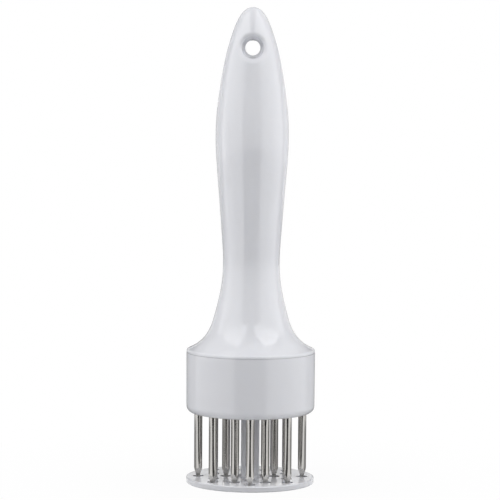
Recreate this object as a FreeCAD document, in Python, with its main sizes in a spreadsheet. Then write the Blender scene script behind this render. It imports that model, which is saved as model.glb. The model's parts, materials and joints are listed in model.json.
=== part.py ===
"""One-handed blade meat tenderizer, in millimetres, +Z up.

The hand pushes the handle down, the guard plate slides up towards the collar, and
twenty steel needles come out through the plate's holes.  A spring in the handle
sends the guard back.  The origin is the centre of the guard plate's underside, on
which the tool stands.
"""
import FreeCAD, Part
import os
import re

import Sketcher
from FreeCAD import Placement, Rotation, Vector

# Driving dimensions in millimetres: each is one cell of the sheet.
SIZES = {
    # Guard plate with its square centre post
    "guard_inset": 0.05,
    "guard_thickness": 2.5,
    "guard_edge": 0.45,
    "guard_hole_clearance": 0.75,
    "post_width": 8.0,
    "post_corner": 0.6,
    "post_foot": 1.0,
    "guide_clearance": 0.3,
    # Travel: free height between the guard plate and the collar
    "stroke_gap": 28.1,
    # Needles: three rings, polished rod with a nail head and a four-facet point
    "needle_radius": 1.75,
    "needle_head_overhang": 0.45,
    "needle_head_height": 1.2,
    "needle_fit": 0.05,
    "point_inset": 0.6,
    "point_length": 5.6,
    "point_flat": 0.1,
    "inner_ring": 10.4,
    "middle_ring": 17.0,
    "outer_ring": 22.5,
    # Collar: moulded cup with a slight draft, its bore a margin outside the outer ring
    "ring_margin": 3.0,
    "collar_wall": 2.3,
    "collar_draft": 0.1,
    "collar_height": 26.0,
    "collar_floor": 2.5,
    "collar_edge": 3.0,
    "floor_hole_clearance": 0.15,
    "boss_wall": 1.35,
    # Needle carrier: web, rim, a tube for each needle, square guide tube
    "carrier_clearance": 0.1,
    "carrier_depth": 11.0,
    "carrier_web": 3.0,
    "carrier_rim": 1.8,
    "tube_wall": 0.9,
    "guide_wall": 2.0,
    # Thrust plate over the needle heads
    "thrust_thickness": 1.5,
    "thrust_clearance": 0.3,
    # Screws: four through the thrust plate beside the spring well, one in the post
    "screw_radius": 1.5,
    "screw_tip_gap": 0.5,
    "screw_head_overhang": 1.3,
    "screw_head_height": 2.2,
    "screw_head_round": 1.0,
    "screw_head_clearance": 0.7,
    "screw_hole_clearance": 0.2,
    "thread_clearance": 0.05,
    "stop_screw_length": 12.0,
    "stop_pilot_gap": 1.5,
    # Stop washer on the post, under the spring
    "washer_margin": 0.45,
    "washer_thickness": 1.5,
    # Return spring, at its length in the standing tool
    "spring_coil_radius": 5.9,
    "spring_wire_radius": 0.55,
    "spring_length": 60.5,
    "spring_turns": 14.0,
    # Handle, inside
    "seam_gap": 0.05,
    "seam_round": 0.2,
    "well_clearance": 0.5,
    "well_wall": 3.6,
    "core_margin": 0.55,
    "core_roof": 15.0,
    "skirt_wall": 2.6,
    "spigot_clearance": 0.1,
    "spigot_wall": 2.2,
    "spigot_gap": 2.0,
    "snap_inset": 3.5,
    "snap_reach": 0.4,
    "snap_clearance": 0.15,
    "rib_thickness": 1.8,
    # Handle, outside: spline poles from the seam up, each by its radius and its
    # rise above the one before; the rim's radius is the collar's
    "rim_rise": 1.25,
    "bell_radius": 19.05,
    "bell_rise": 3.3,
    "flare_radius": 15.3,
    "flare_rise": 12.6,
    "waist_radius": 11.45,
    "waist_rise": 16.5,
    "neck_radius": 12.85,
    "neck_rise": 17.9,
    "grip_radius": 14.5,
    "grip_rise": 22.0,
    "belly_radius": 16.5,
    "belly_rise": 22.0,
    "cheek_radius": 13.4,
    "cheek_rise": 25.0,
    "tip_radius": 9.5,
    "tip_rise": 16.0,
    "crown_radius": 4.55,
    "crown_rise": 11.8,
    "shoulder_round": 1.0,
    "hang_radius": 3.25,
    "hang_drop": 17.4,
    "hang_wall": 4.0,
    "hang_flare": 2.0,
    "hang_reach": 8.0,
    "hang_round": 3.2,
}

INNER_COUNT = 4
MIDDLE_COUNT = 8
MIDDLE_ANGLE = 22.5
OUTER_COUNT = 8
SCREW_COUNT = 4
SCREW_ANGLE = 45.0
RIB_COUNT = 8
RIB_ANGLE = 22.5
# Rings of needles: name of the ring's radius, number of needles, first angle.
RINGS = (("inner_ring", INNER_COUNT, 0), ("middle_ring", MIDDLE_COUNT, MIDDLE_ANGLE),
         ("outer_ring", OUTER_COUNT, 0))
STATIONS = ("rim", "bell", "flare", "waist", "neck", "grip", "belly", "cheek", "tip", "crown")
SPLINE_DEGREE = 3
CUT_MARGIN = "1"
AXIS = "0"
TOLERANCE = 0.01

# Levels of the stack, worked out from the cells.
GUARD_TOP = "guard_thickness"
COLLAR_BASE = f"{GUARD_TOP} + stroke_gap"
COLLAR_TOP = f"{COLLAR_BASE} + collar_height"
FLOOR_TOP = f"{COLLAR_BASE} + collar_floor"
CARRIER_TOP = f"{FLOOR_TOP} + carrier_depth"
WEB_BASE = f"{CARRIER_TOP} - carrier_web"
HEAD_BASE = f"{CARRIER_TOP} - needle_head_height"
THRUST_TOP = f"{CARRIER_TOP} + thrust_thickness"
WASHER_TOP = f"{THRUST_TOP} + washer_thickness"
SPRING_LEDGE = f"{WASHER_TOP} + spring_length"
SKIRT_BASE = f"{COLLAR_TOP} + seam_gap"
SPIGOT_END = f"{THRUST_TOP} + spigot_gap"
SNAP_LEVEL = f"{SPIGOT_END} + snap_inset"
HANDLE_TOP = " + ".join([SKIRT_BASE] + [f"{station}_rise" for station in STATIONS])
HANG_LEVEL = f"{HANDLE_TOP} - hang_drop"
CORE_TOP = f"{HANG_LEVEL} - core_roof"

# Half section of the hang hole about its axis: a parallel wall, then a flare.
HORN = [("hang_wall", "hang_radius"),
        ("hang_wall + hang_reach", "hang_radius + hang_flare"), ("hang_wall + hang_reach", AXIS)]

# Radii that follow from a neighbour.
COLLAR_BORE = "outer_ring + ring_margin"
COLLAR_RIM = f"{COLLAR_BORE} + collar_wall"
SHELL_RADIUS = f"{COLLAR_RIM} - collar_draft"
GUARD_RADIUS = f"{SHELL_RADIUS} - guard_inset"
CARRIER_RADIUS = f"{COLLAR_BORE} - carrier_clearance"
THRUST_RADIUS = f"{COLLAR_BORE} - thrust_clearance"
SPIGOT_RADIUS = f"{COLLAR_BORE} - spigot_clearance"
SPIGOT_BORE = f"{SPIGOT_RADIUS} - spigot_wall"
GUIDE_HALF = "(post_width / 2 + guide_clearance)"
NEEDLE_BORE = "needle_radius + needle_fit"
NEEDLE_HEAD = "needle_radius + needle_head_overhang"
SCREW_HOLE = "screw_radius + screw_hole_clearance"
SCREW_PILOT = "screw_radius + thread_clearance"
SCREW_HEAD = "screw_radius + screw_head_overhang"
WASHER_RADIUS = "spring_coil_radius + spring_wire_radius + washer_margin"
WELL_RADIUS = f"{WASHER_RADIUS} + well_clearance"
WELL_TUBE = f"{WELL_RADIUS} + well_wall"
CORE_RADIUS = "spring_coil_radius - spring_wire_radius - core_margin"
SCREW_RING = f"({WELL_TUBE} + {SCREW_HEAD} + screw_head_clearance)"

# Ceiling of the skirt's cavity, from the spigot in to the well tube, a wall below the
# outside.
BELL_LEVEL = f"{SKIRT_BASE} + rim_rise + bell_rise"
FLARE_LEVEL = f"{BELL_LEVEL} + flare_rise"
SKIRT_CEILING = [(SPIGOT_BORE, f"{SKIRT_BASE} + rim_rise - skirt_wall"),
                 ("bell_radius - skirt_wall / 3", f"{BELL_LEVEL} - 1.4 * skirt_wall"),
                 ("flare_radius - skirt_wall", f"{FLARE_LEVEL} - 2.2 * skirt_wall"),
                 (WELL_TUBE, f"{FLARE_LEVEL} - skirt_wall")]

doc = FreeCAD.newDocument("Tenderizer")
sheet = doc.addObject("Spreadsheet::Sheet", "Dims")
for row, (alias, size) in enumerate(SIZES.items(), 1):
    sheet.set(f"A{row}", alias)
    sheet.set(f"B{row}", str(size))
    sheet.setAlias(f"B{row}", alias)
doc.recompute()


# Sheet, sketch and feature helpers ------------------------------------------------

def on_sheet(expression):
    """The expression with each size written as its cell of the sheet."""
    return re.sub(r"[a-z]\w+", lambda word: f"Dims.{word[0]}" if word[0] in SIZES else word[0],
                  expression)


def number(expression):
    """The expression's present value."""
    return float(sheet.evalExpression(on_sheet(expression)))


def bind(owner, name, expression):
    owner.setExpression(name, on_sheet(expression))


def new_body(label):
    body = doc.addObject("PartDesign::Body", label)
    body.Label = label
    body.Placement = Placement()
    return body


def origin_feature(body, role):
    return next(item for item in body.Origin.OriginFeatures if item.Role == role)


def new_sketch(body, name, plane="XY_Plane", level=None, turn=0.0):
    """A sketch on an origin plane: raised to a level, or turned about +Z if upright."""
    sketch = body.newObject("Sketcher::SketchObject", name)
    sketch.AttachmentSupport = [(origin_feature(body, plane), "")]
    sketch.MapMode = "FlatFace"
    sketch.AttachmentOffset = Placement(Vector(), Rotation(Vector(0, 1, 0), turn))
    if level:
        bind(sketch, "AttachmentOffset.Base.z", level)
    return sketch


def dimension(sketch, constraint, expression):
    """Add a dimensional constraint, its value bound to the expression."""
    index = sketch.addConstraint(Sketcher.Constraint(*constraint, number(expression)))
    bind(sketch, f"Constraints[{index}]", expression)


def pin(sketch, item, vertex, across, up):
    """Place one point of a sketch item by its distances from the sketch's axes."""
    for kind, axis, place in (("DistanceX", -2, across), ("DistanceY", -1, up)):
        if place == AXIS:
            sketch.addConstraint(Sketcher.Constraint("PointOnObject", item, vertex, axis))
        else:
            dimension(sketch, (kind, -1, 1, item, vertex), place)


def join(sketch, item, following):
    sketch.addConstraint(Sketcher.Constraint("Coincident", item, 2, following, 1))


def lines(sketch, corners, closed=True):
    """Straight lines through corners, each an (across, up) pair of expressions."""
    points = [Vector(number(across), number(up), 0) for across, up in corners]
    ends = points[1:] + points[:1] if closed else points[1:]
    items = [sketch.addGeometry(Part.LineSegment(start, end)) for start, end in zip(points, ends)]
    for item, following in zip(items, items[1:]):
        join(sketch, item, following)
    if closed:
        join(sketch, items[-1], items[0])
    for item, corner in zip(items, corners):
        pin(sketch, item, 1, *corner)
    if not closed:
        pin(sketch, items[-1], 2, *corners[-1])
    return items


def circle(sketch, radius, across=AXIS, up=AXIS):
    centre = Vector(number(across), number(up), 0)
    item = sketch.addGeometry(Part.Circle(centre, Vector(0, 0, 1), number(radius)))
    pin(sketch, item, 3, across, up)
    dimension(sketch, ("Radius", item), radius)


def square(sketch, half):
    lines(sketch, [(f"-{half}", f"-{half}"), (half, f"-{half}"), (half, half), (f"-{half}", half)])


def polar(ring, angle):
    """Expressions for a place on a ring, so that both distances follow its radius."""
    return f"{ring} * cos({angle} deg)", f"{ring} * sin({angle} deg)"


def needle_places():
    """Ring and angle of each needle."""
    for ring, count, first in RINGS:
        for step in range(count):
            yield ring, first + step * 360 / count


def needle_circles(sketch, radius):
    for ring, angle in needle_places():
        circle(sketch, radius, *polar(ring, angle))


def screw_circles(sketch, radius):
    for step in range(SCREW_COUNT):
        circle(sketch, radius, *polar(SCREW_RING, SCREW_ANGLE + step * 360 / SCREW_COUNT))


def pad(body, name, sketch, length, down=False):
    feature = body.newObject("PartDesign::Pad", name)
    feature.Profile = sketch
    feature.Reversed = down
    bind(feature, "Length", length)
    return feature


def pocket(body, name, sketch, depth=None, up=False):
    """Cut a sketch to a depth, down unless told otherwise, or right through."""
    feature = body.newObject("PartDesign::Pocket", name)
    feature.Profile = sketch
    if depth is None:
        feature.Type = "ThroughAll"
        feature.Midplane = True
    else:
        feature.Reversed = up
        bind(feature, "Length", depth)
    return feature


def turned(body, name, sketch, kind="PartDesign::Revolution", axis="V_Axis"):
    """Turn a sketch about one of its own axes, the upright one unless told otherwise."""
    feature = body.newObject(kind, name)
    feature.Profile = sketch
    feature.ReferenceAxis = (sketch, [axis])
    feature.Angle = 360
    return feature


def around(body, name, feature, count):
    """Repeat a feature evenly about the body's Z axis."""
    pattern = body.newObject("PartDesign::PolarPattern", name)
    pattern.Originals = [feature]
    pattern.Axis = (origin_feature(body, "Z_Axis"), [""])
    pattern.Angle = 360
    pattern.Occurrences = count
    body.Tip = pattern
    return pattern


def edges_where(feature, wanted):
    doc.recompute()
    return [f"Edge{index}" for index, edge in enumerate(feature.Shape.Edges, 1)
            if not edge.Degenerated and wanted(edge)]


def ring_at(radius, level):
    """Test for a circular edge about the Z axis, by its radius and its height."""
    def wanted(edge):
        if edge.Curve.TypeId != "Part::GeomCircle":
            return False
        axis_offset = Vector(edge.Curve.Center.x, edge.Curve.Center.y, 0).Length
        return (axis_offset < TOLERANCE
                and abs(edge.Curve.Radius - number(radius)) < TOLERANCE
                and abs(edge.Curve.Center.z - number(level)) < TOLERANCE)
    return wanted


def fillet(body, name, feature, edges, radius):
    if not edges:
        raise ValueError(f"{body.Label}: no edge for {name}")
    rounded = body.newObject("PartDesign::Fillet", name)
    rounded.Base = (feature, edges)
    bind(rounded, "Radius", radius)
    return rounded


# Pieces ---------------------------------------------------------------------------

def make_guard_plate():
    """Round plate with a hole for each needle and, moulded with it, the centre post."""
    body = new_body("guard_plate")
    disc_sketch = new_sketch(body, "disc_circle")
    circle(disc_sketch, GUARD_RADIUS)
    disc = pad(body, "disc", disc_sketch, GUARD_TOP)
    rims = edges_where(disc, lambda edge: edge.Closed)
    fillet(body, "disc_rounding", disc, rims, "guard_edge")

    post_sketch = new_sketch(body, "post_square")
    square(post_sketch, "(post_width / 2)")
    post = pad(body, "post", post_sketch, THRUST_TOP)
    half = number("post_width / 2")
    corners = edges_where(post, lambda edge: edge.BoundBox.ZLength > half
                          and abs(abs(edge.CenterOfMass.x) - half) < TOLERANCE)
    post = fillet(body, "post_corners", post, corners, "post_corner")
    foot = edges_where(post, lambda edge: edge.BoundBox.ZLength < TOLERANCE
                       and abs(edge.CenterOfMass.z - number(GUARD_TOP)) < TOLERANCE
                       and edge.CenterOfMass.Length < 2 * half)
    fillet(body, "post_foot_rounding", post, foot, "post_foot")

    hole_sketch = new_sketch(body, "needle_holes")
    needle_circles(hole_sketch, "needle_radius + guard_hole_clearance")
    pocket(body, "needle_clearances", hole_sketch, GUARD_TOP, up=True)
    pilot_sketch = new_sketch(body, "pilot_circle", level=THRUST_TOP)
    circle(pilot_sketch, SCREW_PILOT)
    pocket(body, "screw_pilot", pilot_sketch,
           "stop_screw_length - washer_thickness + stop_pilot_gap")
    return body


def make_collar():
    """Moulded cup: the floor guides the needles and the post, bosses take the screws."""
    body = new_body("collar")
    section = new_sketch(body, "cup_section", "XZ_Plane")
    lines(section, [(AXIS, COLLAR_BASE), (SHELL_RADIUS, COLLAR_BASE), (COLLAR_RIM, COLLAR_TOP),
                    (COLLAR_BORE, COLLAR_TOP), (COLLAR_BORE, FLOOR_TOP), (AXIS, FLOOR_TOP)])
    cup = turned(body, "cup", section)
    foot = edges_where(cup, ring_at(SHELL_RADIUS, COLLAR_BASE))
    fillet(body, "foot_rounding", cup, foot, "collar_edge")

    snap_section = new_sketch(body, "snap_section", "XZ_Plane")
    snap_half = "(snap_reach + snap_clearance)"
    lines(snap_section, [(COLLAR_BORE, f"{SNAP_LEVEL} - {snap_half}"),
                         (f"{COLLAR_BORE} + {snap_half}", SNAP_LEVEL),
                         (COLLAR_BORE, f"{SNAP_LEVEL} + {snap_half}")])
    turned(body, "snap_groove", snap_section, "PartDesign::Groove")

    boss_sketch = new_sketch(body, "boss_circles", level=FLOOR_TOP)
    screw_circles(boss_sketch, f"{SCREW_PILOT} + boss_wall")
    pad(body, "bosses", boss_sketch, f"({WEB_BASE}) - ({FLOOR_TOP})")
    pilot_sketch = new_sketch(body, "pilot_circles", level=WEB_BASE)
    screw_circles(pilot_sketch, SCREW_PILOT)
    pocket(body, "screw_pilots", pilot_sketch, f"({WEB_BASE}) - ({FLOOR_TOP})")

    hole_sketch = new_sketch(body, "floor_holes")
    needle_circles(hole_sketch, "needle_radius + floor_hole_clearance")
    square(hole_sketch, GUIDE_HALF)
    pocket(body, "floor_openings", hole_sketch)
    return body


def make_needle_carrier():
    """Moulded block that holds the needles by their heads and guides the post."""
    body = new_body("needle_carrier")
    web_sketch = new_sketch(body, "web_circle", level=WEB_BASE)
    circle(web_sketch, CARRIER_RADIUS)
    pad(body, "web", web_sketch, "carrier_web")

    below_web = f"({WEB_BASE}) - ({FLOOR_TOP})"
    rim_sketch = new_sketch(body, "rim_circles", level=WEB_BASE)
    circle(rim_sketch, CARRIER_RADIUS)
    circle(rim_sketch, f"{CARRIER_RADIUS} - carrier_rim")
    pad(body, "rim", rim_sketch, below_web, down=True)
    tube_sketch = new_sketch(body, "tube_circles", level=WEB_BASE)
    needle_circles(tube_sketch, f"{NEEDLE_BORE} + tube_wall")
    pad(body, "needle_tubes", tube_sketch, below_web, down=True)
    guide_sketch = new_sketch(body, "guide_square", level=WEB_BASE)
    square(guide_sketch, f"({GUIDE_HALF} + guide_wall)")
    pad(body, "guide_tube", guide_sketch, below_web, down=True)

    hole_sketch = new_sketch(body, "bore_circles")
    needle_circles(hole_sketch, NEEDLE_BORE)
    screw_circles(hole_sketch, SCREW_HOLE)
    square(hole_sketch, GUIDE_HALF)
    pocket(body, "bores", hole_sketch)
    seat_sketch = new_sketch(body, "head_seats", level=HEAD_BASE)
    needle_circles(seat_sketch, f"{NEEDLE_HEAD} + needle_fit")
    pocket(body, "head_recesses", seat_sketch, "needle_head_height", up=True)
    return body


def make_thrust_plate():
    """Steel disc that bears on the needle heads."""
    body = new_body("thrust_plate")
    sketch = new_sketch(body, "plate_outline", level=CARRIER_TOP)
    circle(sketch, THRUST_RADIUS)
    square(sketch, GUIDE_HALF)
    screw_circles(sketch, SCREW_HOLE)
    pad(body, "plate", sketch, "thrust_thickness")
    return body


def make_carrier_screws():
    """Four pan-head screws that pull the stack down onto the collar's bosses."""
    body = new_body("carrier_screws")
    body.AllowCompound = True
    shank_sketch = new_sketch(body, "shank_circles", level=THRUST_TOP)
    screw_circles(shank_sketch, "screw_radius")
    pad(body, "shanks", shank_sketch, f"({THRUST_TOP}) - ({FLOOR_TOP}) - screw_tip_gap",
        down=True)
    head_sketch = new_sketch(body, "head_circles", level=THRUST_TOP)
    screw_circles(head_sketch, SCREW_HEAD)
    heads = pad(body, "heads", head_sketch, "screw_head_height")
    rims = edges_where(heads, lambda edge: edge.BoundBox.ZMin
                       > number(f"{THRUST_TOP} + screw_head_height") - TOLERANCE)
    fillet(body, "head_rounding", heads, rims, "screw_head_round")
    return body


def make_stop_washer():
    """Washer on top of the post: it lands on the thrust plate and stops the guard."""
    body = new_body("stop_washer")
    sketch = new_sketch(body, "washer_circles", level=THRUST_TOP)
    circle(sketch, WASHER_RADIUS)
    circle(sketch, SCREW_HOLE)
    pad(body, "washer", sketch, "washer_thickness")
    return body


def make_stop_screw():
    """Pan-head screw that holds the washer on the post."""
    body = new_body("stop_screw")
    shank_sketch = new_sketch(body, "shank_circle", level=WASHER_TOP)
    circle(shank_sketch, "screw_radius")
    pad(body, "shank", shank_sketch, "stop_screw_length", down=True)
    head_sketch = new_sketch(body, "head_circle", level=WASHER_TOP)
    circle(head_sketch, SCREW_HEAD)
    head = pad(body, "head", head_sketch, "screw_head_height")
    rim = edges_where(head, ring_at(SCREW_HEAD, f"{WASHER_TOP} + screw_head_height"))
    fillet(body, "head_rounding", head, rim, "screw_head_round")
    return body


def make_return_spring():
    """Compression spring between the washer and the ledge in the handle."""
    body = new_body("return_spring")
    section = new_sketch(body, "wire_circle", "XZ_Plane")
    circle(section, "spring_wire_radius", "spring_coil_radius",
           f"{WASHER_TOP} + spring_wire_radius")
    coil = body.newObject("PartDesign::AdditiveHelix", "coil")
    coil.Profile = section
    coil.ReferenceAxis = (section, ["V_Axis"])
    coil.Mode = "height-turns-angle"
    bind(coil, "Height", "spring_length - 2 * spring_wire_radius")
    bind(coil, "Turns", "spring_turns")
    return body


def make_needle(number_in_set, ring, angle):
    """Polished rod with a nail head and four ground facets that face along the radius."""
    body = new_body(f"needle_{number_in_set:02d}")
    section = new_sketch(body, "rod_section", "XZ_Plane")
    lines(section, [(AXIS, "point_inset"), ("needle_radius", "point_inset"),
                    ("needle_radius", HEAD_BASE), (NEEDLE_HEAD, HEAD_BASE),
                    (NEEDLE_HEAD, CARRIER_TOP), (AXIS, CARRIER_TOP)])
    turned(body, "rod", section)

    grind = new_sketch(body, "facet_section", "XZ_Plane")
    beyond = f"(needle_radius + {CUT_MARGIN})"
    slope = "point_length / (needle_radius - point_flat)"
    lines(grind, [("point_flat", "point_inset"), (beyond, "point_inset"),
                  (beyond, f"point_inset + ({beyond} - point_flat) * {slope}")])
    facet = pocket(body, "facet", grind)
    around(body, "facets", facet, 4)

    across, along = polar(ring, angle)
    body.Placement = Placement(Vector(), Rotation(Vector(0, 0, 1), angle))
    bind(body, "Placement.Base.x", across)
    bind(body, "Placement.Base.y", along)
    return body


def draw_handle_outline(sketch):
    """Spline from the seam to the crown, closed by the spigot and the well tube."""
    radii = [SHELL_RADIUS] + [f"{station}_radius" for station in STATIONS[1:]]
    levels = [" + ".join([SKIRT_BASE] + [f"{station}_rise" for station in STATIONS[:count]])
              for count in range(1, len(STATIONS) + 1)]
    poles = list(zip(radii, levels)) + [(AXIS, HANDLE_TOP)]
    spans = len(poles) - SPLINE_DEGREE
    spline = Part.BSplineCurve()
    spline.buildFromPolesMultsKnots(
        [Vector(number(across), number(up), 0) for across, up in poles],
        [SPLINE_DEGREE + 1] + [1] * (spans - 1) + [SPLINE_DEGREE + 1],
        list(range(spans + 1)), False, SPLINE_DEGREE)
    item = sketch.addGeometry(spline)
    sketch.exposeInternalGeometry(item)
    pole_circles = [index for index in range(item + 1, sketch.GeometryCount)
                    if sketch.Geometry[index].TypeId == "Part::GeomCircle"]
    for pole_circle, pole in zip(pole_circles, poles):
        pin(sketch, pole_circle, 3, *pole)
    below = lines(sketch, [(AXIS, HANDLE_TOP), (AXIS, THRUST_TOP), (WELL_TUBE, THRUST_TOP),
                           (WELL_TUBE, SPIGOT_END), (SPIGOT_RADIUS, SPIGOT_END),
                           (SPIGOT_RADIUS, SKIRT_BASE), (SHELL_RADIUS, SKIRT_BASE),
                           (SHELL_RADIUS, levels[0])], closed=False)
    return item, below


def make_handle():
    """Moulded shell: grip, flared skirt, spring well, ribs and the spigot in the collar."""
    body = new_body("handle")
    outline = new_sketch(body, "handle_outline", "XZ_Plane")
    draw_handle_outline(outline)
    grip = turned(body, "grip", outline)
    shoulder = edges_where(grip, ring_at(SHELL_RADIUS, f"{SKIRT_BASE} + rim_rise"))
    rounded = fillet(body, "shoulder_rounding", grip, shoulder, "shoulder_round")
    seam = edges_where(rounded, ring_at(SHELL_RADIUS, SKIRT_BASE))
    fillet(body, "seam_rounding", rounded, seam, "seam_round")

    cavity = new_sketch(body, "skirt_section", "XZ_Plane")
    lines(cavity, [(WELL_TUBE, SPIGOT_END), (SPIGOT_BORE, SPIGOT_END)] + SKIRT_CEILING)
    turned(body, "skirt_cavity", cavity, "PartDesign::Groove")
    bead = new_sketch(body, "snap_section", "XZ_Plane")
    lines(bead, [(SPIGOT_RADIUS, f"{SNAP_LEVEL} - snap_reach"),
                 (f"{SPIGOT_RADIUS} + snap_reach", SNAP_LEVEL),
                 (SPIGOT_RADIUS, f"{SNAP_LEVEL} + snap_reach")])
    turned(body, "snap_bead", bead)

    # Each rib runs into the walls around it and stands on the thrust plate.
    rib_sketch = new_sketch(body, "rib_section", "XZ_Plane", turn=RIB_ANGLE)
    inside_tube = f"{WELL_TUBE} - well_wall / 2"
    inside_spigot = f"{SPIGOT_BORE} + spigot_wall / 2"
    roof = [(across, f"{up} + skirt_wall / 4") for across, up in SKIRT_CEILING]
    lines(rib_sketch, [(inside_tube, THRUST_TOP), (f"{SPIGOT_BORE} - spigot_wall / 2", THRUST_TOP),
                       (inside_spigot, SPIGOT_END), (inside_spigot, roof[0][1])]
          + roof[1:-1] + [(inside_tube, roof[-1][1])])
    rib = pad(body, "rib", rib_sketch, "rib_thickness")
    rib.Midplane = True
    around(body, "ribs", rib, RIB_COUNT)

    well = new_sketch(body, "well_section", "XZ_Plane")
    lines(well, [(AXIS, THRUST_TOP), (WELL_RADIUS, THRUST_TOP), (WELL_RADIUS, SPRING_LEDGE),
                 (CORE_RADIUS, SPRING_LEDGE), (CORE_RADIUS, f"{CORE_TOP} - ({CORE_RADIUS})"),
                 (AXIS, CORE_TOP)])
    turned(body, "spring_well", well, "PartDesign::Groove")

    hang = new_sketch(body, "hang_section", "YZ_Plane")
    bind(hang, "AttachmentOffset.Base.y", HANG_LEVEL)
    lines(hang, [(f"-({across})", up) for across, up in HORN[::-1]] + HORN)
    bore = turned(body, "hang_hole", hang, "PartDesign::Groove", "H_Axis")
    reach = number(HORN[1][1]) + TOLERANCE
    mouths = edges_where(bore, lambda edge: edge.BoundBox.YLength > TOLERANCE
                         and edge.BoundBox.XLength > TOLERANCE
                         and edge.BoundBox.ZMin > number(HANG_LEVEL) - reach
                         and edge.BoundBox.ZMax < number(HANG_LEVEL) + reach)
    fillet(body, "hang_hole_rounding", bore, mouths, "hang_round")
    return body


make_guard_plate()
make_collar()
make_needle_carrier()
make_thrust_plate()
make_carrier_screws()
make_stop_washer()
make_stop_screw()
make_return_spring()
for order, (ring, angle) in enumerate(needle_places(), 1):
    make_needle(order, ring, angle)
make_handle()
doc.recompute()

# Nothing is written unless every object recomputed and every body is a sound solid.
for item in doc.Objects:
    if "Invalid" in item.State or "Error" in item.State:
        raise RuntimeError(f"{item.Label} failed: {item.State}")
bodies = [item for item in doc.Objects if item.TypeId == "PartDesign::Body"]
for body in bodies:
    if body.Shape.isNull() or not body.Shape.isValid():
        raise RuntimeError(f"{body.Label} has no sound shape")

os.makedirs("parts", exist_ok=True)
for body in bodies:
    body.Shape.exportStep(f"parts/{body.Label}.step")
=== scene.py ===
"""Blade meat tenderizer: surface finishes, inner hardware, studio and camera.

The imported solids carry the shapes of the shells, the needles and the plates.  This
file gives each of them its finish and adds what needs a closer look: the return spring
with its closed ends, the screws with their recesses, and the close rounding of the hang
hole's mouths.
"""

import json
import math

import bmesh
import bpy
import numpy
from bpy.props import FloatProperty, IntProperty, PointerProperty, StringProperty
from mathutils import Euler, Matrix, Vector


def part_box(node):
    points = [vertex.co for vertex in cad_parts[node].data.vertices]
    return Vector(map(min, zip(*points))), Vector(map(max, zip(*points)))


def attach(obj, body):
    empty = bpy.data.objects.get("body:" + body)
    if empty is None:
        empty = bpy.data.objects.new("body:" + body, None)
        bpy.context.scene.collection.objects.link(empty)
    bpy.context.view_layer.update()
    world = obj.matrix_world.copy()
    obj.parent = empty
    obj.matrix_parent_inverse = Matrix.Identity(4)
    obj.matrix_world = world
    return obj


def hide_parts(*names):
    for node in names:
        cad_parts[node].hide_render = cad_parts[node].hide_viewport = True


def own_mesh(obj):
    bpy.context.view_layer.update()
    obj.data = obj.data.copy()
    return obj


bl_info = {
    "name": "Blade meat tenderizer",
    "version": (1, 0, 0),
    "blender": (4, 5, 0),
    "location": "View3D > Sidebar > Tenderizer",
    "description": "Finishes, inner hardware and studio of a hand-held blade meat tenderizer",
    "category": "Object",
}

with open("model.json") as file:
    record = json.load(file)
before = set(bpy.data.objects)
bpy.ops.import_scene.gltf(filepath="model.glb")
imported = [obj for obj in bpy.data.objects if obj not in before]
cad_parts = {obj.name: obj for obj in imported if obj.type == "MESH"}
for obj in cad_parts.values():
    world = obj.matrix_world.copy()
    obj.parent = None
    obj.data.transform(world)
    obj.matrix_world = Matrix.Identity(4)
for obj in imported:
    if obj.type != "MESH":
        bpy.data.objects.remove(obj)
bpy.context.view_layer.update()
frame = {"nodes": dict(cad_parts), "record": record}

MM = 0.001
NEEDLES = sorted(name for name in frame["nodes"] if name.startswith("needle_")
                 and name != "needle_carrier")
ROOT_BODY = "handle_assembly"
GUARD_BODY = "guard"


def size_of(node):
    low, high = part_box(node)
    return high - low


# Sizes read from the frame, in metres.
SPRING_LOW, SPRING_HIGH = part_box("return_spring")
SCREW_LOW, SCREW_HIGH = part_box("stop_screw")
WASHER_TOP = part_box("stop_washer")[1].z
THRUST_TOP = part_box("thrust_plate")[1].z
GUARD_RADIUS = size_of("guard_plate").x / 2
SCREW_HEAD_RADIUS = (SCREW_HIGH.x - SCREW_LOW.x) / 2
SCREW_HEAD_HEIGHT = SCREW_HIGH.z - WASHER_TOP
SCREW_SHANK = WASHER_TOP - SCREW_LOW.z
# The four carrier screws stand on the diagonals of their node's box.
SCREW_RING = (size_of("carrier_screws").x / 2 - SCREW_HEAD_RADIUS) * math.sqrt(2)

# Colours of the metals and of the floor, each from its lighter to its darker tone. The floor's
# darker tone is painted shade around the tool.
NEEDLE_TONES = ("#CFCDCA", "#C2C0BD")
SPRING_TONES = ("#A9A9AB", "#8D8D90")
ZINC_TONES = ("#C3C6CC", "#A9ACB4")
SHEET_TONES = ("#B9B9BA", "#A2A2A4")
PAPER_AND_PAINTED_SHADE_TONES = ("#E2E2E2", "#B4B4B4")

SHELL_ROUGHNESS = 0.05
HANDLED = (0.9, 1.15)           # of the shell's roughness, from clean to most handled
PIGMENT_LOW = 0.985             # share of the shell's colour where the pigment is thinnest
WAXY = (0.4, 0.5)               # roughness of acetal
CLOUDED = (0.8, 1.3)            # of a plated or rolled steel's roughness
POLISHED = (0.07, 0.16)         # roughness of a needle's rod
GROUND = (0.22, 0.38)           # roughness of a needle's point
POINT_TILT = (-0.08, -0.2)      # how far a needle's face looks down: rod, ground point
MOST_NOISE = (0.2, 0.8)         # wider part of a noise's range, for a gentler change
BUMP_STRENGTH = 0.5

# The hang hole's mouths.
SIDE_SHARE = 0.9                # least share of the radius that lies across, at the sides
FIT_REACH = 1.3                 # stretch of handle that is read, in reaches
FIT_DEGREE = 5
LIP_STEPS, SKIN_STEPS = 12, 10
ROOT_DEPTH = 0.5 * MM
SHARP_ANGLE = math.radians(40)

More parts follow.
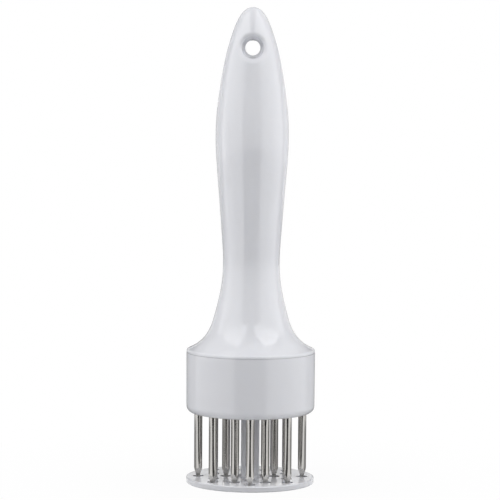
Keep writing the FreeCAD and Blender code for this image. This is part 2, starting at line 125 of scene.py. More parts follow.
# The screws.
HEAD_ROUNDING = 0.45            # share of the head's height
HEAD_STEPS = 8
ROOT_START, ROOT_END = 0.35, 0.65   # of the pitch: where the thread's root lies
PLAIN_END, TIP_START = 1.5, 0.4     # of the pitch: end without thread, start of its taper
BLADE_SHARE = 1 / 9             # half a recess blade's thickness, of the recess's width
RECESS_TAPER = 0.35             # width at the recess's floor, of its width at the top
CUTTER_CLEARANCE = 0.3 * MM
TURNED_SIDES = 32
WELD = 0.001 * MM

CLOSED_PITCH = 2.02             # rise of a closed turn, in wire radii


# Settings -------------------------------------------------------------------------

class SpringSettings(bpy.types.PropertyGroup):
    wire: FloatProperty(name="Wire", description="Diameter of the spring wire",
                        default=1.1 * MM, unit="LENGTH", precision=5)
    turns: FloatProperty(name="Turns", description="Working turns between the closed ends",
                         default=13.0)
    closed_turns: FloatProperty(name="Closed turns",
                                description="Turns wound tight at each end", default=1.25)
    ring_steps: IntProperty(name="Steps", description="Straight steps in one turn", default=40)
    wire_sides: IntProperty(name="Sides", description="Sides around the wire", default=12)


class ScrewSettings(bpy.types.PropertyGroup):
    shank: FloatProperty(name="Shank", description="Diameter of the thread's root",
                         default=2.3 * MM, unit="LENGTH", precision=5)
    thread: FloatProperty(name="Thread", description="Diameter over the thread",
                          default=3.0 * MM, unit="LENGTH", precision=5)
    pitch: FloatProperty(name="Pitch", description="Rise of the thread in one turn",
                         default=1.0 * MM, unit="LENGTH", precision=5)
    recess: FloatProperty(name="Recess", description="Width across the cross recess",
                          default=3.2 * MM, unit="LENGTH", precision=5)
    recess_depth: FloatProperty(name="Recess depth", description="Depth of the cross recess",
                                default=1.3 * MM, unit="LENGTH", precision=5)
    count: IntProperty(name="Count", description="Screws through the thrust plate", default=4,
                       min=3)


class HoleSettings(bpy.types.PropertyGroup):
    lip: FloatProperty(name="Lip", description="Radius that rounds the hole's mouths",
                       default=2.4 * MM, unit="LENGTH", precision=5)
    flare: FloatProperty(name="Flare", description="How much the bore widens up to the lip",
                         default=1.3 * MM, unit="LENGTH", precision=5)
    reach: FloatProperty(name="Reach", description="Radius at which the mouths meet the handle",
                         default=8.8 * MM, unit="LENGTH", precision=5)
    steps: IntProperty(name="Steps", description="Steps around the hole", default=120)


class StudioSettings(bpy.types.PropertyGroup):
    camera_distance: FloatProperty(name="Distance", description="Camera to the tool's axis",
                                   default=1.0, unit="LENGTH")
    camera_height: FloatProperty(name="Height", description="Camera above the floor",
                                 default=172.5 * MM, unit="LENGTH")
    camera_offset: FloatProperty(name="Offset", description="Camera to the side of the axis",
                                 default=-0.63 * MM, unit="LENGTH")
    camera_pitch: FloatProperty(name="Pitch", description="Camera tilt below the horizontal",
                                default=math.radians(4.1), subtype="ANGLE")
    camera_roll: FloatProperty(name="Roll", description="Camera turned about its own axis",
                               default=math.radians(0.385), subtype="ANGLE")
    focal_length: FloatProperty(name="Lens", description="Focal length on a 36 mm sensor",
                                default=167.5)
    floor_size: FloatProperty(name="Floor", description="Side of the square floor",
                              default=8.0, unit="LENGTH")
    side_power: FloatProperty(name="Side power", description="Power of all the side softboxes",
                              default=16.95, unit="POWER")
    top_power: FloatProperty(name="Top power", description="Power of all the top softboxes",
                             default=6.5, unit="POWER")
    shadow_reach: FloatProperty(name="Shadow reach",
                                description="Distance at which the floor is pure white",
                                default=0.15, unit="LENGTH")
    floor_white: FloatProperty(name="Floor white",
                               description="Share of pure white in the floor at the tool",
                               default=0.97, subtype="FACTOR")
    fill: FloatProperty(name="Fill", description="Strength of the even light from all round",
                        default=0.005)


class TenderizerSettings(bpy.types.PropertyGroup):
    shell_white: StringProperty(name="Shell", description="Colour of the white shells",
                                default="#E3E4E9")
    carrier_white: StringProperty(name="Carrier", description="Colour of the inner moulding",
                                  default="#DEDDD6")
    hole: PointerProperty(type=HoleSettings)
    spring: PointerProperty(type=SpringSettings)
    screw: PointerProperty(type=ScrewSettings)
    studio: PointerProperty(type=StudioSettings)


# Node and mesh helpers ------------------------------------------------------------

def linear(hex_colour):
    """sRGB hex to linear RGBA."""
    parts = [int(hex_colour[place:place + 2], 16) / 255 for place in (1, 3, 5)]
    return tuple(part / 12.92 if part <= 0.04045 else ((part + 0.055) / 1.055) ** 2.4
                 for part in parts) + (1.0,)


def add_node(tree, kind, inputs=None, **settings):
    """Add a node, set it up, and feed each named input a value or another socket."""
    node = tree.nodes.new(kind)
    for name, value in settings.items():
        setattr(node, name, value)
    for name, value in (inputs or {}).items():
        if isinstance(value, bpy.types.NodeSocket):
            tree.links.new(value, node.inputs[name])
        else:
            node.inputs[name].default_value = value
    return node


def blank_material(name):
    """A material with an empty node tree."""
    material = bpy.data.materials.new(name)
    material.use_nodes = True
    material.node_tree.nodes.clear()
    return material, material.node_tree


def new_material(name, **surface):
    """A material with one Principled shader; its constants sit on the shader's sockets."""
    material, tree = blank_material(name)
    shader = add_node(tree, "ShaderNodeBsdfPrincipled",
                      {key.replace("_", " "): value for key, value in surface.items()})
    add_node(tree, "ShaderNodeOutputMaterial", {"Surface": shader.outputs["BSDF"]})
    return material, tree, shader


def object_noise(tree, spacing, detail=2.0, stretch=(1, 1, 1)):
    """Noise on object coordinates whose features are about one spacing apart, in metres."""
    place = add_node(tree, "ShaderNodeTexCoord")
    mapping = add_node(tree, "ShaderNodeMapping",
                       {"Vector": place.outputs["Object"],
                        "Scale": [1 / (spacing * part) for part in stretch]})
    return add_node(tree, "ShaderNodeTexNoise",
                    {"Vector": mapping.outputs["Vector"], "Scale": 1.0, "Detail": detail}
                    ).outputs["Fac"]


def spread(tree, value, low, high, start=0.3, end=0.7):
    """Map start to end, by default the middle of a noise's range, onto low to high."""
    return add_node(tree, "ShaderNodeMapRange",
                    {"Value": value, "From Min": start, "From Max": end,
                     "To Min": low, "To Max": high}).outputs["Result"]


def blend_values(tree, factor, first, second):
    return add_node(tree, "ShaderNodeMix", {"Factor": factor, 2: first, 3: second},
                    data_type="FLOAT").outputs[0]


def blend_colours(tree, factor, first, second):
    return add_node(tree, "ShaderNodeMix", {"Factor": factor, 6: first, 7: second},
                    data_type="RGBA").outputs[2]


def tones_by(tree, factor, tones):
    """Blend from a pair's lighter to its darker tone."""
    return blend_colours(tree, factor, *(linear(tone) for tone in tones))


def bump(tree, height, distance):
    return add_node(tree, "ShaderNodeBump",
                    {"Height": height, "Distance": distance, "Strength": BUMP_STRENGTH}
                    ).outputs["Normal"]


def dress(node, material):
    """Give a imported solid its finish."""
    mesh = frame["nodes"][node].data
    mesh.materials.clear()
    mesh.materials.append(material)


def finished_mesh(name, shape):
    """Turn a shape under construction into a mesh and free it."""
    mesh = bpy.data.meshes.new(name)
    shape.to_mesh(mesh)
    shape.free()
    return mesh


def link_object(name, data):
    """Put a mesh, a lamp or a camera into the scene."""
    item = bpy.data.objects.new(name, data)
    bpy.context.scene.collection.objects.link(item)
    return item


def keep_result(piece):
    """Put the mesh that a piece's modifiers make in the place of its own."""
    graph = bpy.context.evaluated_depsgraph_get()
    mesh = bpy.data.meshes.new_from_object(piece.evaluated_get(graph))
    mesh.name = piece.name
    piece.modifiers.clear()
    piece.data = mesh


def applied(name, tree, inputs):
    """Run a geometry tree on an empty mesh and keep the result as a plain mesh piece."""
    piece = link_object(name, bpy.data.meshes.new(name))
    modifier = piece.modifiers.new("shape", "NODES")
    modifier.node_group = tree
    sockets = {item.name: item.identifier for item in tree.interface.items_tree
               if item.item_type == "SOCKET" and item.in_out == "INPUT"}
    for label, value in inputs.items():
        modifier[sockets[label]] = value
    keep_result(piece)
    return piece


def geometry_tree(name, inputs):
    """A geometry tree with named inputs, each given its socket type, and one output."""
    tree = bpy.data.node_groups.new(name, "GeometryNodeTree")
    for label, kind in inputs.items():
        tree.interface.new_socket(label, in_out="INPUT", socket_type="NodeSocket" + kind)
    tree.interface.new_socket("Geometry", in_out="OUTPUT", socket_type="NodeSocketGeometry")
    return tree, add_node(tree, "NodeGroupInput").outputs


def finish_tree(tree, geometry, material):
    """Close a geometry tree: real geometry, its material, smooth faces."""
    real = add_node(tree, "GeometryNodeRealizeInstances", {"Geometry": geometry})
    smooth = add_node(tree, "GeometryNodeSetShadeSmooth", {"Geometry": real.outputs[0]})
    coated = add_node(tree, "GeometryNodeSetMaterial",
                      {"Geometry": smooth.outputs[0], "Material": material})
    add_node(tree, "NodeGroupOutput", {"Geometry": coated.outputs[0]})


def math_node(tree, operation, first, second=0.0, third=0.0):
    return add_node(tree, "ShaderNodeMath", {0: first, 1: second, 2: third},
                    operation=operation).outputs[0]


# Finishes -------------------------------------------------------------------------

def moulded_abs(name, colour, roughness):
    """ABS from a polished mould: smooth gloss with a faint orange peel.

    Handling leaves the gloss a little uneven, and the pigment lets a little light in.
    """
    material, tree, shader = new_material(
        name, IOR=1.54, Subsurface_Weight=0.12, Subsurface_Scale=1.5 * MM,
        Subsurface_Radius=(1.0, 0.9, 0.8))
    pigment = object_noise(tree, 14 * MM, detail=3.0)
    thin = [part * PIGMENT_LOW for part in linear(colour)[:3]] + [1.0]
    tree.links.new(blend_colours(tree, spread(tree, pigment, 0.0, 1.0, *MOST_NOISE),
                                 linear(colour), thin),
                   shader.inputs["Base Color"])
    handling = object_noise(tree, 9 * MM, detail=2.0)
    tree.links.new(spread(tree, handling, *(roughness * share for share in HANDLED),
                          *MOST_NOISE),
                   shader.inputs["Roughness"])
    peel = object_noise(tree, 1.6 * MM, detail=1.0)
    tree.links.new(bump(tree, peel, 0.012 * MM), shader.inputs["Normal"])
    return material


def polished_needle_steel():
    """Stainless rod, drawn and polished: a mirror with faint lines along its length.

    The four facets of the point are ground, so they are duller, with lines across.
    """
    material, tree, shader = new_material("stainless_rod_polished", Metallic=1.0)
    place = add_node(tree, "ShaderNodeTexCoord")
    facing = add_node(tree, "ShaderNodeSeparateXYZ", {"Vector": place.outputs["Normal"]})
    ground = spread(tree, facing.outputs["Z"], 0.0, 1.0, *POINT_TILT)
    drawn = object_noise(tree, 0.25 * MM, detail=3.0, stretch=(1, 1, 40))
    cut = object_noise(tree, 0.15 * MM, detail=2.0, stretch=(20, 20, 1))
    tree.links.new(tones_by(tree, spread(tree, drawn, 0.0, 1.0), NEEDLE_TONES),
                   shader.inputs["Base Color"])
    roughness = blend_values(tree, ground, spread(tree, drawn, *POLISHED),
                             spread(tree, cut, *GROUND))
    tree.links.new(roughness, shader.inputs["Roughness"])
    lines = blend_values(tree, ground, drawn, cut)
    tree.links.new(bump(tree, lines, 0.002 * MM), shader.inputs["Normal"])
    return material


def plated_steel(name, tones, roughness):
    """Plated or rolled steel: bright, with a soft cloudy sheen."""
    material, tree, shader = new_material(name, Metallic=1.0)
    cloud = object_noise(tree, 2.0 * MM, detail=4.0)
    tree.links.new(tones_by(tree, spread(tree, cloud, 0.0, 1.0), tones),
                   shader.inputs["Base Color"])
    tree.links.new(spread(tree, cloud, *(roughness * share for share in CLOUDED)),
                   shader.inputs["Roughness"])
    return material


def natural_acetal(colour):
    """Unpigmented acetal: waxy, slightly see-through at its edges, with a fine matte skin."""
    material, tree, shader = new_material(
        "acetal_natural_matte", IOR=1.48, Subsurface_Weight=0.3, Subsurface_Scale=2.5 * MM,
        Base_Color=linear(colour))
    skin = object_noise(tree, 0.5 * MM, detail=2.0)
    tree.links.new(spread(tree, skin, *WAXY), shader.inputs["Roughness"])
    tree.links.new(bump(tree, skin, 0.01 * MM), shader.inputs["Normal"])
    return material


# Pieces ---------------------------------------------------------------------------

def turned_radius(level, reach):
    """The handle's radius as a smooth function of the height over a level.

    It is read at the handle's sides, which the hole leaves whole.
    """
    handle = frame["nodes"]["handle"]
    heights, radii = [], []
    for vertex in handle.data.vertices:
        spot = handle.matrix_world @ vertex.co
        radius = math.hypot(spot.x, spot.y)
        if abs(spot.z - level) < reach and abs(spot.x) > SIDE_SHARE * radius:
            heights.append(spot.z - level)
            radii.append(radius)
    return numpy.poly1d(numpy.polyfit(heights, radii, FIT_DEGREE))


def mouth_section(turn, radius_at, bore, wall, settings):
    """Closed section of a mouth at a turn about the hole: (distance from its axis, depth)."""
    def skin(distance):
        across = distance * math.sin(turn)
        return math.sqrt(radius_at(distance * math.cos(turn)) ** 2 - across ** 2)

    section = []
    for step in range(LIP_STEPS + 1):
        angle = math.pi / 2 * step / LIP_STEPS
        distance = bore + settings.flare + settings.lip * (1 - math.cos(angle))
        section.append((distance, skin(distance) - settings.lip * (1 - math.sin(angle))))
    edge = bore + settings.flare + settings.lip
    for step in range(1, SKIN_STEPS + 1):
        distance = edge + (settings.reach - edge) * step / SKIN_STEPS
        section.append((distance, skin(distance)))
    return [(bore, wall)] + section + [(settings.reach, section[-1][1] - ROOT_DEPTH),
                                       (bore + ROOT_DEPTH, wall)]


def make_mouths(settings, material):
    """The hang hole's two mouths: the skin runs on to a close rounding into the bore."""
    mount = next(item for item in frame["record"]["mounts"] if item["name"] == "hang_hole")
    level = mount["pos_m"][2]
    bore, wall = mount["dims"]["r_mm"] * MM, mount["dims"]["length_mm"] * MM / 2
    radius_at = turned_radius(level, settings.reach * FIT_REACH)
    shape = bmesh.new()
    for side in (-1, 1):
        rings = []
        for step in range(settings.steps):
            turn = 2 * math.pi * step / settings.steps
            section = mouth_section(turn, radius_at, bore, wall, settings)
            rings.append([shape.verts.new((distance * math.sin(turn), side * depth,
                                           level + distance * math.cos(turn)))
                          for distance, depth in section])
        for ring, after in zip(rings, rings[1:] + rings[:1]):
            for place in range(len(ring)):
                shape.faces.new((ring[place - 1], ring[place], after[place], after[place - 1]))
    bmesh.ops.recalc_face_normals(shape, faces=shape.faces)
    mesh = finished_mesh("hang_hole_mouths", shape)
    mesh.shade_smooth()
    mesh.set_sharp_from_angle(angle=SHARP_ANGLE)
    mesh.materials.append(material)
    mouths = link_object("hang_hole_mouths", mesh)
    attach(mouths, ROOT_BODY)


def coil_tree(material):
    """Round wire on a helix whose pitch closes up at both ends."""
    tree, given = geometry_tree("wound_spring", {
        "Wire Radius": "Float", "Coil Radius": "Float", "Low": "Float", "High": "Float",
        "Turns": "Float", "Closed Share": "Float", "Steps": "Int", "Wire Sides": "Int"})
    line = add_node(tree, "GeometryNodeMeshLine", {"Count": given["Steps"]})
    curve = add_node(tree, "GeometryNodeMeshToCurve", {"Mesh": line.outputs[0]})
    place = add_node(tree, "GeometryNodeSplineParameter").outputs["Factor"]
    angle = math_node(tree, "MULTIPLY", math_node(tree, "MULTIPLY", place, given["Turns"]),
                      2 * math.pi)
    # The closed turns rise by one wire each; the working turns take the rest.
    low = math_node(tree, "ADD", given["Low"], given["Wire Radius"])
    high = math_node(tree, "SUBTRACT", given["High"], given["Wire Radius"])
    closed_rise = math_node(tree, "MULTIPLY", math_node(tree, "MULTIPLY", given["Closed Share"],
                                                        given["Turns"]),
                            math_node(tree, "MULTIPLY", given["Wire Radius"], CLOSED_PITCH))
    opening = add_node(tree, "ShaderNodeMapRange",
                       {"Value": place, "From Min": given["Closed Share"],
                        "From Max": math_node(tree, "SUBTRACT", 1.0, given["Closed Share"]),
                        "To Min": math_node(tree, "ADD", low, closed_rise),
                        "To Max": math_node(tree, "SUBTRACT", high, closed_rise)},
                       clamp=False).outputs["Result"]
    share = math_node(tree, "DIVIDE", closed_rise, given["Closed Share"])
    from_low = math_node(tree, "MULTIPLY_ADD", place, share, low)
    from_high = math_node(tree, "SUBTRACT", high,
                          math_node(tree, "MULTIPLY", math_node(tree, "SUBTRACT", 1.0, place),
                                    share))
    rise = math_node(tree, "MINIMUM", math_node(tree, "MAXIMUM", opening, from_low), from_high)
    point = add_node(tree, "ShaderNodeCombineXYZ",
                     {"X": math_node(tree, "MULTIPLY", math_node(tree, "COSINE", angle),
                                     given["Coil Radius"]),
                      "Y": math_node(tree, "MULTIPLY", math_node(tree, "SINE", angle),
                                     given["Coil Radius"]),
                      "Z": rise}).outputs[0]
    wound = add_node(tree, "GeometryNodeSetPosition",
                     {"Geometry": curve.outputs[0], "Position": point})
    section = add_node(tree, "GeometryNodeCurvePrimitiveCircle",
                       {"Resolution": given["Wire Sides"], "Radius": given["Wire Radius"]})
    wire = add_node(tree, "GeometryNodeCurveToMesh",
                    {"Curve": wound.outputs[0], "Profile Curve": section.outputs[0],
                     "Fill Caps": True})
    finish_tree(tree, wire.outputs[0], material)
    return tree


def make_spring(settings):
    """The return spring, which the guard closes up as it rises."""
    wire_radius = settings.wire / 2
    turns = settings.turns + 2 * settings.closed_turns
    steel = plated_steel("spring_steel_bright_drawn", SPRING_TONES, 0.3)
    spring = applied("return_spring_wire", coil_tree(steel), {
        "Wire Radius": wire_radius,
        "Coil Radius": (SPRING_HIGH.x - SPRING_LOW.x) / 2 - wire_radius,
        "Low": SPRING_LOW.z, "High": SPRING_HIGH.z, "Turns": turns,
        "Closed Share": settings.closed_turns / turns,
        "Steps": int(turns * settings.ring_steps), "Wire Sides": settings.wire_sides})
    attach(spring, ROOT_BODY)
    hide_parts("return_spring")
    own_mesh(spring)


def screw_mesh(settings):
    """Pan head with a cross recess on a threaded shank, seat at the origin, head up."""
    shape = bmesh.new()
    round_over = SCREW_HEAD_HEIGHT * HEAD_ROUNDING
    profile = [(0.0, SCREW_HEAD_HEIGHT)]
    for step in range(HEAD_STEPS + 1):
        turn = math.radians(90 - step * 90 / HEAD_STEPS)
        profile.append((SCREW_HEAD_RADIUS - round_over + round_over * math.cos(turn),
                        SCREW_HEAD_HEIGHT - round_over + round_over * math.sin(turn)))
    root, crest, pitch = settings.shank / 2, settings.thread / 2, settings.pitch
    profile += [(SCREW_HEAD_RADIUS, 0.0), (crest, 0.0)]
    ridges = int((SCREW_SHANK - PLAIN_END * pitch) / pitch)
    for ridge in range(ridges):
        top = -ridge * pitch
        profile += [(root, top - ROOT_START * pitch), (root, top - ROOT_END * pitch),
                    (crest, top - pitch)]
    profile += [(root, -(ridges + TIP_START) * pitch), (0.0, -SCREW_SHANK)]
    points = [shape.verts.new((radius, 0, level)) for radius, level in profile]
    edges = [shape.edges.new(pair) for pair in zip(points, points[1:])]
    bmesh.ops.spin(shape, geom=points + edges, cent=(0, 0, 0), axis=(0, 0, 1),
                   angle=2 * math.pi, steps=TURNED_SIDES)
    bmesh.ops.remove_doubles(shape, verts=shape.verts, dist=WELD)
    bmesh.ops.recalc_face_normals(shape, faces=shape.faces)
    return finished_mesh("pan_head_screw", shape)


def cross_cutter(settings):
    """Tapered cross that cuts the recess."""
    shape = bmesh.new()
    half, blade = settings.recess / 2, settings.recess * BLADE_SHARE
    over = SCREW_HEAD_HEIGHT + CUTTER_CLEARANCE
    floor = SCREW_HEAD_HEIGHT - settings.recess_depth
    for turn in (0, math.pi / 2):
        part = bmesh.ops.create_cube(shape, size=1.0)["verts"]
        for vert in part:
            reach = half if vert.co.z > 0 else half * RECESS_TAPER
            spot = Vector((vert.co.x * 2 * reach, vert.co.y * 2 * blade, 0))
            spot.rotate(Euler((0, 0, turn)))
            vert.co = (spot.x, spot.y, over if vert.co.z > 0 else floor)
    return finished_mesh("cross_cutter", shape)


def make_screw_master(settings):
    """One finished screw, which the stop screw and the ring of carrier screws copy."""
    screw = link_object("screw_master", screw_mesh(settings))
    cutter = link_object("cross_cutter", cross_cutter(settings))
    recess = screw.modifiers.new("recess", "BOOLEAN")
    recess.object = cutter
    recess.operation = "DIFFERENCE"
    recess.solver = "EXACT"
    recess.use_self = True
    keep_result(screw)
    bpy.data.objects.remove(cutter)
    return screw


def screw_ring_tree(material):
    """Screws spaced evenly on a ring at one level."""
    tree, given = geometry_tree("screw_ring", {
        "Screw": "Object", "Count": "Int", "Ring Radius": "Float", "First Angle": "Float",
        "Level": "Float"})
    ring = add_node(tree, "GeometryNodeMeshCircle",
                    {"Vertices": given["Count"], "Radius": given["Ring Radius"]})
    turn = add_node(tree, "ShaderNodeCombineXYZ", {"Z": given["First Angle"]})
    lift = add_node(tree, "ShaderNodeCombineXYZ", {"Z": given["Level"]})
    placed = add_node(tree, "GeometryNodeTransform",
                      {"Geometry": ring.outputs[0], "Translation": lift.outputs[0],
                       "Rotation": turn.outputs[0]})
    points = add_node(tree, "GeometryNodeMeshToPoints", {"Mesh": placed.outputs[0]})
    source = add_node(tree, "GeometryNodeObjectInfo", {"Object": given["Screw"]})
    copies = add_node(tree, "GeometryNodeInstanceOnPoints",
                      {"Points": points.outputs[0], "Instance": source.outputs["Geometry"]})
    finish_tree(tree, copies.outputs[0], material)
    return tree


def make_screws(settings):
    """The carrier screws, the stop screw and the finish of its washer."""
    zinc = plated_steel("steel_zinc_plated", ZINC_TONES, 0.28)
    master = make_screw_master(settings)
    tree = screw_ring_tree(zinc)
    ring = applied("carrier_screw_set", tree, {
        "Screw": master, "Count": settings.count, "Ring Radius": SCREW_RING,
        "First Angle": math.pi / settings.count, "Level": THRUST_TOP})
    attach(ring, ROOT_BODY)
    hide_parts("carrier_screws")
    stop = link_object("stop_screw_turned", master.data.copy())
    stop.data.transform(Matrix.Translation((0, 0, WASHER_TOP)))
    stop.data.shade_smooth()
    stop.data.materials.clear()
    stop.data.materials.append(zinc)
    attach(stop, GUARD_BODY)
    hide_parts("stop_screw")
    bpy.data.objects.remove(master)
    dress("stop_washer", zinc)


# Studio ---------------------------------------------------------------------------

AIM_HEIGHT = 0.1                # level that the softboxes face
PAINTED_SHADE_END = 0.5                 # share of the shadow's reach where the paper is palest
FADE_START = 0.3                # share of the shadow's reach where the shadow starts to fade
ARC_STEPS = 24
WALL = 1.3                      # radius of the cards that stand around the tool
EDGE = 0.031                    # radius where the cards on the floor begin
ON_FLOOR = 0.001                # level of the cards on the floor

# Softboxes: name, share of the power, width, height, azimuth, distance, level.
SIDE_BOXES = (
    ("box_front_left", 0.152, 0.5, 1.1, -50, 1.0, 0.45),
    ("box_front_right", 0.165, 0.5, 1.1, 50, 1.0, 0.45),
    ("box_left", 0.2, 0.5, 1.1, -80, 1.0, 0.45),
    ("box_right", 0.213, 0.5, 1.1, 80, 1.0, 0.45),
    ("box_rear_left", 0.125, 0.5, 1.1, -110, 1.0, 0.45),
    ("box_rear_right", 0.145, 0.5, 1.1, 110, 1.0, 0.45))
TOP_BOXES = (
    ("box_over", 0.74, 1.2, 1.0, 0, 0.1, 1.1),
    ("box_high_front", 0.26, 1.2, 0.6, 0, 0.55, 1.0))
# Cards: name, glow, first and last azimuth, near and far arc as (radius, level).
CARDS = (
    ("card_front", 1.1, -28, 28, (WALL, 0.0), (WALL, 0.55)),
    ("card_left", 2.25, -110, -30, (WALL, 0.0), (WALL, 0.85)),
    ("card_right", 2.1, 30, 110, (WALL, 0.0), (WALL, 0.85)),
    ("card_rear_left", 0.68, -165, -112, (WALL, 0.0), (WALL, 0.3)),
    ("card_rear_right", 0.8, 112, 165, (WALL, 0.0), (WALL, 0.3)),
    ("card_high_left", 0.5, -165, -112, (WALL, 0.3), (WALL, 0.9)),
    ("card_high_right", 0.5, 112, 165, (WALL, 0.3), (WALL, 0.9)),
    ("card_rear_low", 0.15, 165, 195, (WALL, 0.0), (WALL, 0.17)),
    ("card_rear_high", 0.18, 165, 195, (WALL, 0.28), (WALL, 0.8)),
    ("card_near_front", 0.06, -20, 20, (EDGE, ON_FLOOR), (0.2, ON_FLOOR)),
    ("card_near_left", 0.38, -112, -66, (EDGE, ON_FLOOR), (0.2, ON_FLOOR)),
    ("card_near_right", 0.38, 66, 112, (EDGE, ON_FLOOR), (0.2, ON_FLOOR)),
    ("card_near_rear", 0.12, 112, 248, (EDGE, ON_FLOOR), (0.2, ON_FLOOR)),
    ("card_far_left", 1.55, -110, -30, (0.45, ON_FLOOR), (WALL, ON_FLOOR)),
    ("card_far_right", 1.45, 30, 110, (0.45, ON_FLOOR), (WALL, ON_FLOOR)),
    ("card_far_front", 0.0, -28, 28, (0.2, ON_FLOOR), (WALL, ON_FLOOR)),
    ("card_far_rear", 0.3, 112, 248, (0.2, ON_FLOOR), (WALL, ON_FLOOR)))
# Overhead panels: name, glow, two opposite corners.
PANELS = (
    ("panel_left", 3.05, (-1.6, -1.6, 1.0), (-0.27, 0.05, 1.0)),
    ("panel_right", 3.2, (0.27, -1.6, 1.0), (1.6, 0.05, 1.0)))


def make_camera(settings):
    lens = bpy.data.cameras.new("studio_camera")
    lens.sensor_width = 36.0
    lens.lens = settings.focal_length
    camera = link_object("studio_camera", lens)
    aim = (Matrix.Rotation(math.pi / 2 - settings.camera_pitch, 4, "X")
           @ Matrix.Rotation(settings.camera_roll, 4, "Z"))
    camera.matrix_world = Matrix.Translation(
        (settings.camera_offset, -settings.camera_distance, settings.camera_height)) @ aim
    bpy.context.scene.camera = camera


def seen_directly(tree):
    """1 for the rays that show the studio: from the camera, off gloss and through glass."""
    rays = add_node(tree, "ShaderNodeLightPath").outputs
    return math_node(tree, "MAXIMUM", math_node(tree, "MAXIMUM", rays["Is Camera Ray"],
                                                rays["Is Glossy Ray"]),
                     rays["Is Transmission Ray"])


def make_floor(settings):
    """Pale floor that keeps the tool's shadow and runs into the white background."""
    half = settings.floor_size / 2
    mesh = bpy.data.meshes.new("studio_floor")
    mesh.from_pydata([(-half, -half, 0), (half, -half, 0), (half, half, 0), (-half, half, 0)],
                     [], [(0, 1, 2, 3)])
    floor = link_object("studio_floor", mesh)
    material, tree = blank_material("studio_floor_paper")
    white = add_node(tree, "ShaderNodeEmission", {"Color": (1, 1, 1, 1), "Strength": 1.0})
    # Painted shade: the paper is darkest at the guard's edge, which cuts the light it bounces
    # onto the guard; all of this painted shade has faded within the reach.
    place = add_node(tree, "ShaderNodeTexCoord").outputs["Object"]
    away = add_node(tree, "ShaderNodeVectorMath", {0: place}, operation="LENGTH").outputs["Value"]
    reach = settings.shadow_reach
    near = spread(tree, away, 1.0, 0.0, GUARD_RADIUS, PAINTED_SHADE_END * reach)
    paper = add_node(tree, "ShaderNodeBsdfDiffuse", {"Color": tones_by(tree, near, PAPER_AND_PAINTED_SHADE_TONES)})
    fade = spread(tree, away, settings.floor_white, 1.0, FADE_START * reach, reach)
    share = math_node(tree, "MULTIPLY", seen_directly(tree), fade)
    mix = add_node(tree, "ShaderNodeMixShader",
                   {"Fac": share, 1: paper.outputs[0], 2: white.outputs[0]})
    add_node(tree, "ShaderNodeOutputMaterial", {"Surface": mix.outputs[0]})
    mesh.materials.append(material)


def make_world(settings):
    """Even fill light; what looks straight at it sees white."""
    world = bpy.data.worlds.new("studio_world")
    bpy.context.scene.world = world
    world.use_nodes = True
    tree = world.node_tree
    tree.nodes.clear()
    fill = add_node(tree, "ShaderNodeBackground",
                    {"Color": (1, 1, 1, 1), "Strength": settings.fill})
    white = add_node(tree, "ShaderNodeBackground", {"Color": (1, 1, 1, 1)})
    mix = add_node(tree, "ShaderNodeMixShader",
                   {"Fac": seen_directly(tree), 1: fill.outputs[0], 2: white.outputs[0]})
    add_node(tree, "ShaderNodeOutputWorld", {"Surface": mix.outputs[0]})


def add_softbox(name, power, width, height, azimuth, distance, level):
    """Stand a softbox at an azimuth from the camera's side, facing the tool."""
    lamp = bpy.data.lights.new(name, "AREA")
    lamp.shape = "RECTANGLE"
    lamp.size, lamp.size_y = width, height
    lamp.energy = power
    item = link_object(name, lamp)
    item.visible_glossy = False
    turn = math.radians(azimuth)
    spot = Vector((math.sin(turn) * distance, -math.cos(turn) * distance, level))
    facing = (Vector((0, 0, AIM_HEIGHT)) - spot).to_track_quat("-Z", "Y")
    item.matrix_world = Matrix.Translation(spot) @ facing.to_matrix().to_4x4()


def arc_strip(first, last, near, far):
    """Points and faces of a strip between two arcs, each a (radius, level) pair."""
    turns = [math.radians(first + (last - first) * step / ARC_STEPS)
             for step in range(ARC_STEPS + 1)]
    points = [(math.sin(turn) * radius, -math.cos(turn) * radius, level)
              for radius, level in (near, far) for turn in turns]
    return points, [(step, step + 1, ARC_STEPS + step + 2, ARC_STEPS + step + 1)
                    for step in range(ARC_STEPS)]


def add_card(name, points, faces, glow):
    """Dark or glowing card that only the gloss and the steel see."""
    material, tree = blank_material(name)
    shine = add_node(tree, "ShaderNodeEmission", {"Color": (1, 1, 1, 1), "Strength": glow})
    add_node(tree, "ShaderNodeOutputMaterial", {"Surface": shine.outputs[0]})
    mesh = bpy.data.meshes.new(name)
    mesh.from_pydata(points, [], faces)
    mesh.materials.append(material)
    card = link_object(name, mesh)
    card.visible_camera = False
    card.visible_shadow = False
    card.visible_diffuse = False


def make_studio(settings):
    scene = bpy.context.scene
    scene.view_settings.view_transform = "Standard"
    make_camera(settings)
    make_floor(settings)
    make_world(settings)
    for name, share, *shape_and_place in SIDE_BOXES:
        add_softbox(name, share * settings.side_power, *shape_and_place)
    for name, share, *shape_and_place in TOP_BOXES:
        add_softbox(name, share * settings.top_power, *shape_and_place)
    for name, glow, *strip in CARDS:
        add_card(name, *arc_strip(*strip), glow)
    for name, glow, low, high in PANELS:
        corners = [(low[0], low[1]), (high[0], low[1]), (high[0], high[1]), (low[0], high[1])]
        add_card(name, [(x, y, low[2]) for x, y in corners], [(0, 1, 2, 3)], glow)


# Operators ------------------------------------------------------------------------

class TENDERIZER_OT_shells(bpy.types.Operator):
    """Finish the handle, the collar and the guard plate as gloss white mouldings"""
    bl_idname = "tenderizer.shells"
    bl_label = "White shells"

    def execute(self, context):
        white = moulded_abs("abs_moulded_gloss_white", context.scene.tenderizer.shell_white,
                            SHELL_ROUGHNESS)
        for node in ("handle", "collar", "guard_plate"):
            dress(node, white)
        return {"FINISHED"}


class TENDERIZER_OT_mouths(bpy.types.Operator):
    """Run the finished handle's skin on into the hang hole with a close rounding"""
    bl_idname = "tenderizer.mouths"
    bl_label = "Hang hole's mouths"

    def execute(self, context):
        white = frame["nodes"]["handle"].data.materials[0]
        make_mouths(context.scene.tenderizer.hole, white)
        return {"FINISHED"}


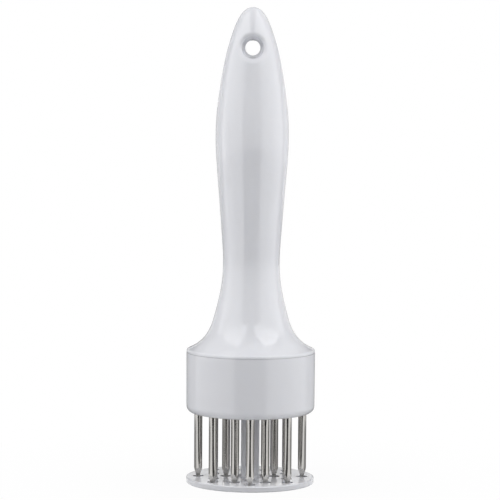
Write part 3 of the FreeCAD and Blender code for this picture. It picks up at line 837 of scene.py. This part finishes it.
class TENDERIZER_OT_needles(bpy.types.Operator):
    """Finish the needles as polished rod with ground points"""
    bl_idname = "tenderizer.needles"
    bl_label = "Needles"

    def execute(self, context):
        steel = polished_needle_steel()
        for node in NEEDLES:
            dress(node, steel)
        return {"FINISHED"}


class TENDERIZER_OT_needle_block(bpy.types.Operator):
    """Finish the needle carrier and the thrust plate"""
    bl_idname = "tenderizer.needle_block"
    bl_label = "Needle block"

    def execute(self, context):
        dress("needle_carrier", natural_acetal(context.scene.tenderizer.carrier_white))
        dress("thrust_plate", plated_steel("steel_sheet_rolled", SHEET_TONES, 0.35))
        return {"FINISHED"}


class TENDERIZER_OT_spring(bpy.types.Operator):
    """Wind the return spring with closed ends"""
    bl_idname = "tenderizer.spring"
    bl_label = "Return spring"

    def execute(self, context):
        make_spring(context.scene.tenderizer.spring)
        return {"FINISHED"}


class TENDERIZER_OT_screws(bpy.types.Operator):
    """Make the carrier screws and the stop screw, and finish its washer"""
    bl_idname = "tenderizer.screws"
    bl_label = "Screws and washer"

    def execute(self, context):
        make_screws(context.scene.tenderizer.screw)
        return {"FINISHED"}


class TENDERIZER_OT_studio(bpy.types.Operator):
    """Set up the floor, the lights, the cards and the camera"""
    bl_idname = "tenderizer.studio"
    bl_label = "Studio"

    def execute(self, context):
        make_studio(context.scene.tenderizer.studio)
        return {"FINISHED"}


OPERATORS = (TENDERIZER_OT_shells, TENDERIZER_OT_mouths, TENDERIZER_OT_needles,
             TENDERIZER_OT_needle_block, TENDERIZER_OT_spring, TENDERIZER_OT_screws,
             TENDERIZER_OT_studio)


class TENDERIZER_PT_panel(bpy.types.Panel):
    """Sidebar panel with every step and its settings"""
    bl_label = "Blade meat tenderizer"
    bl_idname = "TENDERIZER_PT_panel"
    bl_space_type = "VIEW_3D"
    bl_region_type = "UI"
    bl_category = "Tenderizer"

    def draw(self, context):
        settings = context.scene.tenderizer
        for operator in OPERATORS:
            self.layout.operator(operator.bl_idname)
        self.layout.prop(settings, "shell_white")
        self.layout.prop(settings, "carrier_white")
        for group in (settings.hole, settings.spring, settings.screw, settings.studio):
            box = self.layout.box()
            for name in group.__annotations__:
                box.prop(group, name)


CLASSES = (SpringSettings, ScrewSettings, HoleSettings, StudioSettings,
           TenderizerSettings) + OPERATORS + (TENDERIZER_PT_panel,)


def register():
    for item in CLASSES:
        bpy.utils.register_class(item)
    bpy.types.Scene.tenderizer = PointerProperty(type=TenderizerSettings)


def unregister():
    del bpy.types.Scene.tenderizer
    for item in reversed(CLASSES):
        bpy.utils.unregister_class(item)


def main():
    register()
    for operator in OPERATORS:
        section, step = operator.bl_idname.split(".")
        getattr(getattr(bpy.ops, section), step)()


if __name__ == "__main__":
    main()
